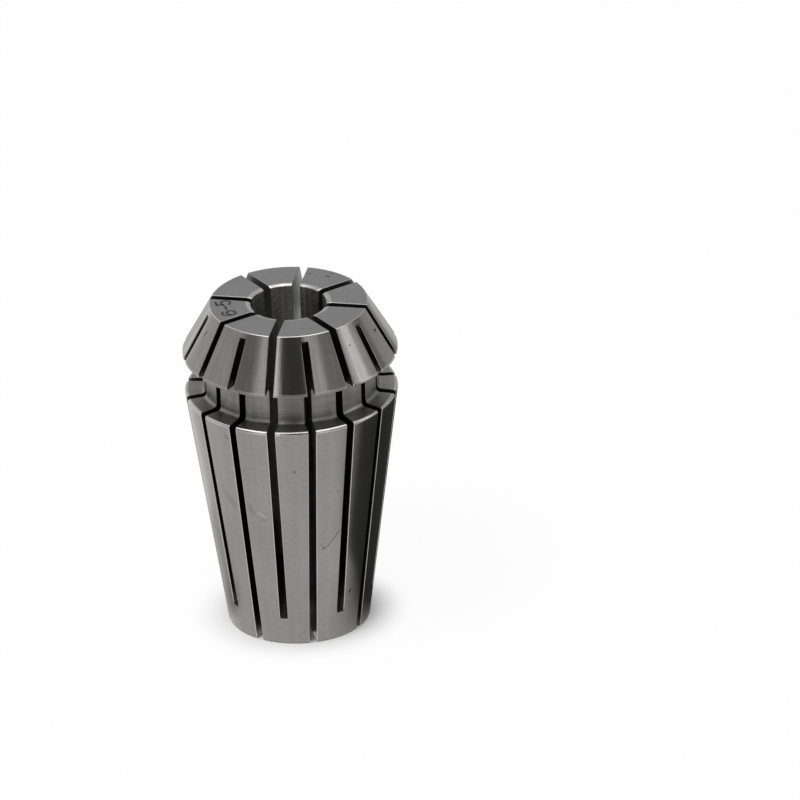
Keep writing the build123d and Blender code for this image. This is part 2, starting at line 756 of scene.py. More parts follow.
@dataclass
class SteelNodes:
    """The shader nodes of one steel finish, laid layer by layer.

    Oil and fingers leave faint brown clouds, and loose chips leave small dark pits. All
    sizes are in millimetres, and relief is in microns.
    """

    steel: SpringSteel
    tree: NodeTree
    reference_radius: float = 8.0
    grain_detail: float = 3.0
    around_axis: float = 0.25
    stain_size: float = 5.0
    stain_detail: tuple[float, float] = (5.0, 0.65)
    stain_levels: tuple[float, float] = (0.35, 0.8)
    most_stained: float = 0.7
    pit_cell: float = 0.8
    pit_radius: float = 0.045
    pit_rim: tuple[float, float] = (0.6, 1.4)
    pit_strength: float = 0.6
    pit_share: float = 0.12
    dent_depth: float = 4.0
    trace_rim: tuple[float, float] = (0.25, 0.65)
    wobble: float = 0.12
    wobble_scale: tuple[float, float] = (5.0, 2.0)
    shade_levels: tuple[float, float] = (0.25, 0.75)
    micron: float = 1e-6

    def build(self) -> None:
        """Lays the layers one after another and ties them to the shader."""
        tree, steel = self.tree, self.steel
        place = add_node(tree, "ShaderNodeTexCoord").outputs["Object"]
        self.place = add_node(tree, VECTOR, (place, 1.0 / MM), operation="SCALE")
        self._lay()
        self._stain()
        self._shake()
        self._dent()
        finish = {
            "Metallic": 1.0,
            "Anisotropic": steel.anisotropy,
            "Anisotropic Rotation": self.around_axis,
            "Base Color": self._colour(),
            "Roughness": add_node(tree, RANGE, (self.stains, 0.0, 1.0, *steel.roughnesses)),
            "Normal": self._relief(),
            "Tangent": add_node(tree, "ShaderNodeTangent", direction_type="RADIAL", axis="Z"),
        }
        fill(tree, tree.nodes["Principled BSDF"], finish)

    def _lay(self) -> None:
        """Lays fine lines round the axis, and soft streaks along it."""
        tree, steel = self.tree, self.steel
        flat = add_node(tree, VECTOR, (self.place, (1.0, 1.0, 0.0)), operation="MULTIPLY")
        radius = add_node(tree, VECTOR, (flat,), operation="LENGTH")
        height = add_node(tree, "ShaderNodeSeparateXYZ", (self.place,)).outputs["Z"]
        outward = add_node(tree, VECTOR, (flat,), operation="NORMALIZE")
        reach = add_node(tree, MATH, (radius, height), operation="ADD")
        self.lines = self._drawn_out(outward, steel.line_length, reach, steel.lines.width)
        self.streaks = None
        for twist, length in steel.streak_ways:
            turn = add_node(tree, MATH, (height, twist), operation="MULTIPLY")
            leant = {"Vector": outward, "Angle": turn}
            leant = add_node(tree, "ShaderNodeVectorRotate", leant, rotation_type="Z_AXIS")
            drawn = self._drawn_out(leant, steel.streaks.width, height, length)
            self.streaks = self._strongest(self.streaks, drawn)

    def _strongest(self, first: Optional[Node], second: Optional[Node]) -> Optional[Node]:
        """Joins two patterns, either of which may be missing, by the stronger at each place."""
        if first is None or second is None:
            return first or second
        return add_node(self.tree, MATH, (first, second), operation="MAXIMUM")

    def _drawn_out(self, outward: Node, around: float, walked: Any, along: float) -> Node:
        """Lays noise whose grains have one size round the axis and another across.

        Args:
            outward: Unit vector away from the axis.
            around: Size of a grain round the axis.
            walked: How far the place lies along the profile.
            along: Size of a grain that way.

        Returns:
            A pattern with values round 0.5.
        """
        tree, scale = self.tree, self.reference_radius / around
        spot = add_node(tree, VECTOR, (outward, scale), operation="SCALE")
        step = add_node(tree, MATH, (walked, 1.0 / along), operation="MULTIPLY")
        step = add_node(tree, "ShaderNodeCombineXYZ", {"Z": step})
        spot = add_node(tree, VECTOR, (spot, step), operation="ADD")
        return add_node(tree, NOISE, (spot, 1.0, self.grain_detail))

    def _stain(self) -> None:
        """Lays soft clouds where oil and fingers have faintly stained the steel."""
        clouds = (self.place, 1.0 / self.stain_size, *self.stain_detail)
        clouds = add_node(self.tree, NOISE, clouds)
        levels = (clouds, *self.stain_levels, 0.0, self.most_stained)
        self.stains = add_node(self.tree, RANGE, levels)

    def _shake(self) -> None:
        """Shakes the place a little, so that no trace is quite straight."""
        tree = self.tree
        wander = add_node(tree, NOISE, (self.place, *self.wobble_scale)).outputs["Color"]
        wander = add_node(tree, VECTOR, (wander, (0.5, 0.5, 0.5)), operation="SUBTRACT")
        wander = add_node(tree, VECTOR, (wander, self.wobble), operation="SCALE")
        self.shaken = add_node(tree, VECTOR, (self.place, wander), operation="ADD")

    def _dent(self) -> None:
        """Scatters small pits thinly, and adds the pits and scratches that stand out."""
        tree, rim = self.tree, self.pit_radius / self.pit_cell
        cells = add_node(tree, "ShaderNodeTexVoronoi", (self.place, 1.0 / self.pit_cell))
        chosen = add_node(tree, "ShaderNodeSeparateColor", (cells.outputs["Color"],))
        chosen = add_node(tree, MATH, (chosen, self.pit_share), operation="LESS_THAN")
        low, high = (part * rim for part in self.pit_rim)
        pits = add_node(tree, RANGE, (cells, low, high, self.pit_strength, 0.0))
        pits = add_node(tree, MATH, (pits, chosen), operation="MULTIPLY")
        self.dents = self._strongest(pits, self._traced(Kind.DENT))

    def _traced(self, kind: Kind) -> Optional[Node]:
        """Draws the traces of one kind.

        Args:
            kind: Which traces.

        Returns:
            How strongly they show, or nothing where the finish has no such trace.
        """
        shown = None
        for trace in self.steel.traces:
            low, high = (part * trace.width for part in self.trace_rim)
            for stroke in trace.strokes() if trace.kind is kind else ():
                levels = (self._distance(*stroke), low, high, trace.strength, 0.0)
                drawn = add_node(self.tree, RANGE, levels, interpolation_type="SMOOTHSTEP")
                shown = self._strongest(shown, drawn)
        return shown

    def _distance(self, start: Vector, end: Vector) -> Node:
        """Measures how far the shaken place lies from a stroke.

        Args:
            start: Start of the stroke.
            end: Its end, the same for a round spot.

        Returns:
            The distance in millimetres.
        """
        tree, way = self.tree, end - start
        gap = add_node(tree, VECTOR, (self.shaken, start), operation="SUBTRACT")
        if way.length:
            share = (gap, way / way.length_squared)
            share = add_node(tree, VECTOR, share, operation="DOT_PRODUCT")
            share = add_node(tree, "ShaderNodeClamp", (share,))
            nearest = add_node(tree, VECTOR, (way, share), operation="SCALE")
            gap = add_node(tree, VECTOR, (gap, nearest), operation="SUBTRACT")
        return add_node(tree, VECTOR, (gap,), operation="LENGTH")

    def _colour(self) -> Node:
        """Tones the steel by its stains, lines, streaks, traces, painted highlights and dents.

        Returns:
            The steel's colour.
        """
        tree, steel = self.tree, self.steel
        clean, stained = (linear(colour) for colour in steel.colours)
        tone = add_node(tree, MIX, (self.stains, clean, stained), data_type="RGBA")
        for pattern, lay in ((self.lines, steel.lines), (self.streaks, steel.streaks)):
            levels = (pattern, *self.shade_levels, 1.0 - lay.shade, 1.0 + lay.shade)
            tone = (tone, add_node(tree, RANGE, levels))
            tone = add_node(tree, VECTOR, tone, operation="SCALE")
        for kind in (Kind.SMEAR, Kind.RUBBED_AND_HIGHLIGHT, Kind.DENT):
            shown = self.dents if kind is Kind.DENT else self._traced(kind)
            if shown and kind is not Kind.DENT:
                shown = add_node(tree, MATH, (shown, self.lines), operation="MULTIPLY")
            if shown:
                mixed = (shown, tone, linear(kind.value))
                tone = add_node(tree, MIX, mixed, data_type="RGBA")
        return tone

    def _relief(self) -> Node:
        """Turns the lines, streaks and dents into relief of a few microns.

        Returns:
            The bumped normal.
        """
        tree, steel = self.tree, self.steel
        height = add_node(tree, MATH, (self.lines, steel.lines.depth), operation="MULTIPLY")
        for layer in ((self.streaks, steel.streaks.depth), (self.dents, -self.dent_depth)):
            height = add_node(tree, MATH, (*layer, height), operation="MULTIPLY_ADD")
        return add_node(tree, "ShaderNodeBump", {"Height": height, "Distance": self.micron})


# Cylindrically ground: satin grey, its reflections drawn out along the axis.
GROUND_STEEL = SpringSteel(
    name="ground_65mn_spring_steel",
    colours=("908F8D", "878482"),
    roughnesses=(0.2, 0.25),
    anisotropy=0.75,
    lines=Lay(0.12, 0.35, 0.08),
    streaks=Lay(0.6, 3.0, 0.05),
    line_length=0.3,
    traces=NOSE_AND_TAPER_TRACES,
)

# The nose cone was stroked towards the face after grinding, so its streaks are stronger.
NOSE_STEEL = replace(
    GROUND_STEEL,
    name="stroked_65mn_spring_steel",
    roughnesses=(0.17, 0.21),
    lines=Lay(0.12, 0.35, 0.05),
    streaks=Lay(0.3, 5.0, 0.13),
    streak_ways=((0.0, 3.0),),
)

# Rims and edges: deburred, and a lighter grey than the ground steel as a painted highlight.
EDGE_STEEL = SpringSteel(
    name="deburred_painted_highlight_steel",
    colours=("B9B8B6", "A8A6A4"),
    roughnesses=(0.22, 0.3),
    anisotropy=0.0,
    lines=Lay(0.3, 1.0, 0.1),
    streaks=Lay(0.5, 1.0, 0.05),
)

# Turned before hardening and left so: a darker, coarser grey with a clear lay.
TURNED_STEEL = SpringSteel(
    name="turned_65mn_spring_steel",
    colours=("888786", "787676"),
    roughnesses=(0.34, 0.44),
    anisotropy=0.5,
    lines=Lay(0.14, 0.8, 0.12),
    streaks=Lay(0.4, 3.0, 0.12),
    traces=NECK_TRACES,
)

# Faced and lightly lapped: an even, slightly cooler grey with rings too fine to count.
FACED_STEEL = SpringSteel(
    name="faced_65mn_spring_steel",
    colours=("8F8F90", "858384"),
    roughnesses=(0.22, 0.28),
    anisotropy=0.3,
    lines=Lay(0.12, 0.3, 0.08),
    streaks=Lay(0.6, 1.0, 0.03),
    traces=FACE_TRACES,
)

# Honed: darker, with fine scratches that wind down the bore, across others along it.
BORE_STEEL = SpringSteel(
    name="honed_65mn_spring_steel",
    colours=("939291", "848281"),
    roughnesses=(0.4, 0.48),
    anisotropy=0.4,
    lines=Lay(0.2, 0.5, 0.1),
    streaks=Lay(0.4, 4.0, 1.0),
    streak_ways=((0.5, 0.7), (0.0, 9.0)),
)

# Sawn and hardened in the scale: nearly black walls, a painted highlight in the rear nose slot.
SAWN_STEEL = SpringSteel(
    name="sawn_65mn_spring_steel",
    colours=("5E5D5C", "4D4C4B"),
    roughnesses=(0.33, 0.4),
    anisotropy=0.2,
    lines=Lay(0.16, 1.2, 0.15),
    streaks=Lay(0.5, 2.0, 0.1),
    traces=FAR_WALL_PAINTED_HIGHLIGHT,
)

# The ends of the kerfs, nearly black and matt: painted shade in the slots' deepest part.
KERF_END_STEEL = replace(
    SAWN_STEEL,
    name="kerf_end_painted_shade_steel",
    colours=("2E2D2C", "242322"),
    roughnesses=(0.45, 0.5),
    traces=(),
)


@dataclass(frozen=True)
class LaserMark:
    """Laser annealing: a matt brown-black oxide on the bright face.

    The beam's dots leave a grain of 0.02 to 0.05 mm, drawn coarser so that it shows.
    """

    name: str = "laser_annealed_mark"
    colour: str = "2C2A28"
    pale: str = "3E3C39"
    metallic: float = 0.6
    roughness: float = 0.5
    grain: float = 0.08
    detail: float = 2.0

    def material(self) -> Material:
        """Builds the material of the mark.

        Returns:
            The finished material.
        """
        made = bpy.data.materials.new(self.name)
        made.use_nodes = True
        tree = made.node_tree
        place = add_node(tree, "ShaderNodeTexCoord").outputs["Object"]
        dots = add_node(tree, NOISE, (place, 1.0 / (self.grain * MM), self.detail))
        burnt = (dots, linear(self.colour), linear(self.pale))
        burnt = add_node(tree, MIX, burnt, data_type="RGBA")
        oxide = {"Metallic": self.metallic, "Roughness": self.roughness, "Base Color": burnt}
        fill(tree, tree.nodes["Principled BSDF"], oxide)
        return made


@dataclass
class RangeMark:
    """The clamping range, largest bore to smallest, in plain single-line numerals."""

    centre_radius: float = 5.0
    centre_azimuth: float = -69.6
    upright_azimuth: float = -64.7
    spacing: float = 0.955
    last_spacing: float = 0.9
    stroke: float = 0.21
    face_height: float = 27.5
    sunk: float = 0.01
    cap_steps: int = 6
    smoothing: int = 6

    # fmt: off
    SIX = (
        ((0.27, 0.37), (0.08, 0.53), (-0.16, 0.5), (-0.33, 0.28), (-0.38, -0.02),
         (-0.35, -0.32), (-0.16, -0.51), (0.1, -0.52), (0.31, -0.38), (0.37, -0.16),
         (0.27, 0.04), (0.05, 0.13), (-0.17, 0.07), (-0.29, -0.04)),
    )
    DASH = (((-0.3, 0.0), (0.0, 0.0), (0.3, 0.0)),)
    FIVE = (
        ((0.31, 0.55), (0.3, 0.55), (-0.26, 0.55), (-0.27, 0.55)),
        ((-0.27, 0.46), (-0.29, 0.3), (-0.33, 0.07)),
        ((-0.25, 0.08), (-0.06, 0.17), (0.14, 0.14), (0.32, 0.0), (0.37, -0.2),
         (0.27, -0.42), (0.06, -0.54), (-0.16, -0.53), (-0.36, -0.4)),
    )
    # fmt: on

    def build(self, material: Material) -> Object:
        """Makes the numerals as thin plates that are sunk into the front face.

        Args:
            material: The laser mark's finish.

        Returns:
            One object with all strokes.
        """
        plates = bmesh.new()
        shifts = (-self.spacing, 0.0, self.last_spacing)
        for shift, strokes in zip(shifts, (self.SIX, self.DASH, self.FIVE)):
            for points in strokes:
                self._plate(plates, self._smooth(points), shift)
        bmesh.ops.recalc_face_normals(plates, faces=plates.faces)
        mesh = as_mesh(plates, "range_mark")
        mesh.materials.append(material)
        return place_object("range_mark", mesh)

    def _smooth(self, points: tuple) -> list[Vector]:
        """Draws a smooth line through the points of a stroke.

        Args:
            points: The points.

        Returns:
            The line's points, close together.
        """
        given = [Vector(point) for point in points]
        padded = [given[0] * 2 - given[1], *given, given[-1] * 2 - given[-2]]
        line = []
        for before, start, end, after in zip(padded, padded[1:], padded[2:], padded[3:]):
            for step in range(self.smoothing):
                t = step / self.smoothing
                bend = (before * 2 - start * 5 + end * 4 - after) * t**2
                twist = (start * 3 - before - end * 3 + after) * t**3
                line.append((start * 2 + (end - before) * t + bend + twist) / 2)
        return [*line, given[-1]]

    def _plate(self, plates: BMesh, line: list[Vector], shift: float) -> None:
        """Adds one stroke with round ends as a thin closed plate.

        Args:
            plates: Shell of all strokes.
            line: Points of the stroke's middle line.
            shift: How far the numeral stands to the right of the mark's centre.
        """
        half = self.stroke / 2
        ways = [(b - a).normalized() for a, b in zip(line, line[1:])]
        ways = [ways[0], *[(a + b).normalized() for a, b in zip(ways, ways[1:])], ways[-1]]
        sides = [Vector((-way.y, way.x)) * half for way in ways]
        rows = [(point + side, point - side) for point, side in zip(line, sides)]
        for end, sign in ((0, -1.0), (-1, 1.0)):
            for step in range(1, self.cap_steps):
                turn = math.pi / 2 * step / self.cap_steps
                reach = line[end] + ways[end] * (sign * half * math.sin(turn))
                side = sides[end] * math.cos(turn)
                rows.insert(len(rows) if end else 0, (reach + side, reach - side))
        top, low = (
            [[plates.verts.new(self._on_face(p, shift, height)) for p in row] for row in rows]
            for height in (self.face_height, self.face_height - self.sunk)
        )
        for (a, b), (c, d), (e, f), (g, h) in zip(top, top[1:], low, low[1:]):
            for corners in ((a, b, d, c), (e, g, h, f), (a, c, g, e), (b, f, h, d)):
                plates.faces.new(corners)
        for (a, b), (c, d) in ((top[0], low[0]), (top[-1], low[-1])):
            plates.faces.new((a, c, d, b))

    def _on_face(self, point: Vector, shift: float, height: float) -> Vector:
        """Places a point of a numeral on the front face.

        Args:
            point: The point in the numeral's own frame.
            shift: How far the numeral stands to the right of the mark's centre.
            height: Height above the back face.

        Returns:
            Its place in metres.
        """
        turn = math.radians(self.centre_azimuth)
        lean = math.radians(self.upright_azimuth)
        centre = Vector((math.sin(turn), -math.cos(turn))) * self.centre_radius
        up = Vector((math.sin(lean), -math.cos(lean)))
        onward = Vector((up.y, -up.x))
        spot = centre + onward * (point.x + shift) + up * point.y
        return Vector((spot.x, spot.y, height)) * MM


@dataclass
class Collet:
    """The whole collet: half a finger pair, mirrored and repeated round the axis."""

    form: ColletForm = field(default_factory=ColletForm)
    weld: float = 2e-6

    def build(self, finishes: dict[Region, Material]) -> Object:
        """Builds the collet as one closed mesh.

        Args:
            finishes: Material of each region.

        Returns:
            The finished object, at the origin.
        """
        half = HalfSegment(self.form).build()
        tree = self._round_the_axis(finishes)
        modifier = half.modifiers.new("round_the_axis", "NODES")
        modifier.node_group = tree
        values = {"Finger pairs": self.form.slots_each_end, "Weld distance": self.weld}
        for item in tree.interface.items_tree:
            if item.name in values:
                modifier[item.identifier] = values[item.name]
        bpy.context.view_layer.update()
        graph = bpy.context.evaluated_depsgraph_get()
        mesh = bpy.data.meshes.new_from_object(half.evaluated_get(graph))
        bpy.data.objects.remove(half)
        self._close(mesh)
        self._shade(mesh)
        return place_object("slit_collet", mesh)

    @staticmethod
    def _close(mesh: Mesh) -> None:
        """Turns all faces outwards and reports any gap.

        Args:
            mesh: The collet's mesh.
        """
        shell = bmesh.new()
        shell.from_mesh(mesh)
        bmesh.ops.recalc_face_normals(shell, faces=shell.faces)
        open_edges = sum(not edge.is_manifold for edge in shell.edges)
        if open_edges:
            LOG.warning("%d edges of the collet are not closed", open_edges)
        shell.to_mesh(mesh)
        shell.free()

    def _shade(self, mesh: Mesh) -> None:
        """Gives the turned skin and broken edges their true normals, and flat slot walls.

        Args:
            mesh: The collet's mesh, which carries each vertex's lean.
        """
        pitch = math.pi / self.form.slots_each_end
        leans = mesh.attributes["lean"].data
        normals = []
        for face in mesh.polygons:
            flat = face.material_index in (Region.SAWN.value, Region.KERF_END.value)
            if flat:
                normals += [face.normal.copy()] * len(face.vertices)
            for corner in () if flat else face.vertices:
                place = mesh.vertices[corner].co
                outward, upward, slotward = leans[corner].vector
                azimuth = math.atan2(place.y, place.x)
                plane = round(azimuth / pitch) * pitch
                side = math.copysign(slotward, plane - azimuth)
                normal = Vector((math.cos(azimuth), math.sin(azimuth), 0.0)) * outward
                normal += Vector((-math.sin(plane), math.cos(plane), 0.0)) * side
                normal.z += upward
                normals.append(normal.normalized())
        mesh.normals_split_custom_set(normals)
        mesh.attributes.remove(mesh.attributes["lean"])

    def _round_the_axis(self, finishes: dict[Region, Material]) -> NodeTree:
        """Builds the nodes that mirror the half, repeat it and give each region its finish.

        Args:
            finishes: Material of each region.

        Returns:
            The tree, with the number of finger pairs and the weld distance as inputs.
        """
        tree = bpy.data.node_groups.new("fingers_round_the_axis", "GeometryNodeTree")
        sockets = (("Geometry", "Geometry"), ("Finger pairs", "Int"), ("Weld distance", "Float"))
        for name, kind in sockets:
            tree.interface.new_socket(name, in_out="INPUT", socket_type=f"NodeSocket{kind}")
        tree.interface.new_socket("Geometry", in_out="OUTPUT", socket_type="NodeSocketGeometry")
        given = add_node(tree, "NodeGroupInput").outputs
        half, pairs, weld = given["Geometry"], given["Finger pairs"], given["Weld distance"]
        flipped = {"Geometry": half, "Scale": (1.0, -1.0, 1.0)}
        flipped = add_node(tree, "GeometryNodeTransform", flipped)
        flipped = add_node(tree, "GeometryNodeFlipFaces", (flipped,))
        pair = add_node(tree, "GeometryNodeJoinGeometry", (half,))
        fill(tree, pair, (flipped,))
        posts = {"Count": pairs, "Offset": (0.0, 0.0, 0.0)}
        posts = add_node(tree, "GeometryNodeMeshLine", posts)
        index = add_node(tree, "GeometryNodeInputIndex")
        turn = add_node(tree, MATH, (index, pairs), operation="DIVIDE")
        turn = add_node(tree, MATH, (turn, math.tau), operation="MULTIPLY")
        turn = add_node(tree, "ShaderNodeCombineXYZ", {"Z": turn})
        copies = {"Points": posts, "Instance": pair, "Rotation": turn}
        copies = add_node(tree, "GeometryNodeInstanceOnPoints", copies)
        last = add_node(tree, "GeometryNodeRealizeInstances", (copies,))
        last = {"Geometry": last, "Distance": weld}
        last = add_node(tree, "GeometryNodeMergeByDistance", last)
        last = add_node(tree, "GeometryNodeSetMaterial", (last, True, finishes[Region.GROUND]))
        name = "GeometryNodeInputNamedAttribute"
        number = add_node(tree, name, ("region",), data_type="INT")
        equal = {"data_type": "INT", "operation": "EQUAL"}
        for region in list(Region)[1:]:
            chosen = add_node(tree, "FunctionNodeCompare", (number, region.value), **equal)
            dressed = (last, chosen, finishes[region])
            last = add_node(tree, "GeometryNodeSetMaterial", dressed)
        add_node(tree, "NodeGroupOutput", {"Geometry": last})
        return tree


def toward(azimuth: float, elevation: float) -> Vector:
    """Unit vector for an azimuth from the front and an elevation, in degrees."""
    turn, tilt = math.radians(azimuth), math.radians(elevation)
    return Vector(
        (math.sin(turn) * math.cos(tilt), -math.cos(turn) * math.cos(tilt), math.sin(tilt))
    )


@dataclass(frozen=True)
class Patch:
    """A lamp, gap or dark cloth in the light tent, by its direction in degrees.

    Its azimuth is counted from the camera's side, and its level is what it shines at,
    where the white table is 1.
    """

    azimuth: float
    half_width: float
    level: float
    low: float = -10.0
    high: float = 50.0
    fade: float = 4.0

    def share(self, azimuth: float, elevation: float) -> float:
        """How fully a direction lies in the patch, from 0 to 1."""
        inside = min(
            self.half_width - abs((azimuth - self.azimuth + 180.0) % 360.0 - 180.0),
            elevation - self.low,
            self.high - elevation,
        )
        return eased(0.5 + inside / self.fade)


@dataclass(frozen=True)
class Pool:
    """A round pool of painted shade on the table sheet, right of the axis and behind it in mm."""

    right: float
    away: float
    core: float
    rim: float
    level: float

    def share(self, right: float, away: float) -> float:
        """How fully a spot on the table lies in the pool, from 0 to 1."""
        gap = math.hypot(right - self.right, away - self.away)
        return eased((self.rim - gap) / (self.rim - self.core))


@dataclass
class LightTent:
    """A dome of white cloth round the table, which only the polished steel mirrors.

    The steel mirrors a sheet on the table too: pools of painted shade lie near the collet,
    and far from it a painted sheen shows the cloth, its lamps and its gaps again, fainter.
    """

    radius: float = 500.0
    columns: int = 240
    rows: int = 60
    lowest: float = -6.0
    cloth_level: float = 0.66
    # The table sheet's painted sheen: the tent again, seen at this elevation, fainter.
    sheen_elevation: float = 20.0
    sheen_share: float = 0.65
    sheen_level: float = 0.3
    sheen_start: float = 34.0
    sheen_full: float = 50.0
    table_start: float = 4.0
    table_step: float = 1.0
    table_lift: float = 0.1
    table_margin: float = 10.0
    patches: tuple[Patch, ...] = (
        Patch(0.0, 180.0, 3.2, low=60.0, high=100.0, fade=6.0),
        Patch(0.0, 180.0, 1.3, low=77.0, high=100.0, fade=6.0),
        Patch(-126.0, 24.0, 0.88),
        Patch(-143.0, 8.0, 1.25),
        Patch(-88.0, 12.0, 0.74),
        Patch(-54.0, 11.0, 0.33),
        Patch(-27.0, 12.0, 0.98),
        Patch(-17.5, 3.5, 1.8, fade=2.0),
        Patch(3.0, 16.0, 0.06, high=60.0, fade=3.0),
        Patch(30.0, 10.0, 0.92),
        Patch(54.5, 14.0, 0.39),
        Patch(82.0, 7.5, 1.75),
        Patch(94.0, 4.0, 0.75),
        Patch(107.0, 7.5, 0.36),
        Patch(142.0, 3.5, 0.1),
    )
    # Painted shade on the table sheet: a contact shade round the collet, and dark pools beside
    # it.
    pools: tuple[Pool, ...] = (
        Pool(0.0, 0.0, 7.0, 14.0, 0.94),
        Pool(-10.0, 7.0, 5.5, 11.0, 0.65),
        Pool(-8.7, 0.2, 0.8, 4.0, 0.46),
        Pool(11.5, 5.5, 6.5, 15.5, 0.04),
    )

    def level(self, azimuth: float, elevation: float) -> float:
        """Works out how brightly the tent shines.

        Args:
            azimuth: Direction, counted from the camera's side.
            elevation: Direction above the table.

        Returns:
            The level, where the white table is 1.
        """
        shine = self.cloth_level
        for patch in self.patches:
            shine += (patch.level - shine) * patch.share(azimuth, elevation)
        return shine

    def table_level(self, azimuth: float, radius: float) -> float:
        """Works out how brightly the table sheet shines, with its painted shade and sheen.

        Args:
            azimuth: Direction of the spot, counted from the camera's side.
            radius: Its distance to the axis.

        Returns:
            The level, where the white table is 1.
        """
        far = (radius - self.sheen_start) / (self.sheen_full - self.sheen_start)
        sheen = self.sheen_level + self.sheen_share * self.level(azimuth, self.sheen_elevation)
        shine = 1.0 + (sheen - 1.0) * clamped(far)
        turn = math.radians(azimuth)
        for pool in self.pools:
            share = pool.share(radius * math.sin(turn), -radius * math.cos(turn))
            shine += (pool.level - shine) * share
        return shine

    def build(self, front: float, centre_height: float) -> list[Object]:
        """Makes the dome, and the sheet of painted shade and sheen on the table.

        Args:
            front: Azimuth of the camera.
            centre_height: Height of the dome's centre.

        Returns:
            Two pieces, unseen by the camera and by matt surfaces.
        """
        dome, sheet = [], []
        for row in range(self.rows):
            elevation = self.lowest + (90.0 - self.lowest) * row / self.rows
            places = self._ring(front, elevation, self.radius, centre_height)
            dome.append([(place, self.level(turn, elevation)) for turn, place in places])
        near = range(round((self.sheen_start - self.table_start) / self.table_step))
        radii = [self.table_start + self.table_step * step for step in near]
        far = self.radius - self.table_margin
        for radius in (*radii, self.sheen_start, self.sheen_full, far):
            places = self._ring(front, 0.0, radius, self.table_lift)
            sheet.append([(place, self.table_level(turn, radius)) for turn, place in places])
        tent = mirrored_piece("light_tent", dome, capped=True)
        return [tent, mirrored_piece("painted_table_shade_and_sheen", sheet)]

    def _ring(self, front: float, elevation: float, radius: float, rise: float) -> list:
        """Places at an elevation round a centre, each with its azimuth from the camera's."""
        turns = [360.0 * column / self.columns for column in range(self.columns)]
        return [(turn, toward(turn + front, elevation) * radius + UP * rise) for turn in turns]


def mirrored_piece(name: str, rows: list, wraps: bool = True, capped: bool = False) -> Object:
    """Makes a glowing studio piece that only mirror-like surfaces see.

    Args:
        name: Name of the piece.
        rows: Rows of points in millimetres, each with how brightly the piece shines there.
        wraps: Whether the last point of a row joins the first.
        capped: Whether the last row is filled.

    Returns:
        The piece, linked to the scene.
    """
    count, last = len(rows[0]), (len(rows) - 1) * len(rows[0])
    faces = [
        (row + left, row + right, row + count + right, row + count + left)
        for row in range(0, last, count)
        for left, right in zip(range(count), [*range(1, count), *([0] if wraps else [])])
    ]
    if capped:
        faces.append(tuple(range(last, last + count)))
    places, levels = zip(*[spot for row in rows for spot in row])
    mesh = bpy.data.meshes.new(name)
    mesh.from_pydata([place * MM for place in places], [], faces)
    mesh.attributes.new("level", "FLOAT", "POINT").data.foreach_set("value", levels)
    cloth = bpy.data.materials.new(name)
    cloth.use_nodes = True
    tree = cloth.node_tree
    tree.nodes.clear()
    level = add_node(tree, "ShaderNodeAttribute", attribute_name="level").outputs["Fac"]
    glow = add_node(tree, "ShaderNodeEmission", {"Strength": level})
    add_node(tree, "ShaderNodeOutputMaterial", {"Surface": glow})
    mesh.materials.append(cloth)
    piece = place_object(name, mesh)
    for ray in ("camera", "diffuse", "transmission", "volume_scatter", "shadow"):
        setattr(piece, f"visible_{ray}", False)
    return piece


@dataclass
class DarkFlag:
    """A low dark sheet beside the collet, which only the steel mirrors: a painted reflection,
    dark on the steel's right side.

    It stands on posts, given by how far they are to the right of the axis and behind
    it in millimetres, and by how brightly the sheet shines there.
    """

    posts: tuple[tuple[float, float, float], ...] = (
        (15.2, -14.0, 1.0),
        (14.3, -10.6, 0.62),
        (13.5, -8.0, 0.35),
        (13.1, -6.5, 0.07),
        (12.1, -2.0, 0.05),
        (9.6, 9.0, 0.04),
        (8.0, 15.5, 0.04),
    )
    height: float = 18.2

    def build(self, front: float) -> Object:
        """Makes the sheet of painted reflection as an upright strip.

        Args:
            front: Azimuth of the camera.

        Returns:
            The sheet, seen only by polished surfaces.
        """
        right, away = toward(front + 90.0, 0.0), -toward(front, 0.0)
        low = [(right * across + away * back, level) for across, back, level in self.posts]
        high = [(place + UP * self.height, level) for place, level in low]
        return mirrored_piece("dark_flag_painted_reflection", [low, high], wraps=False)


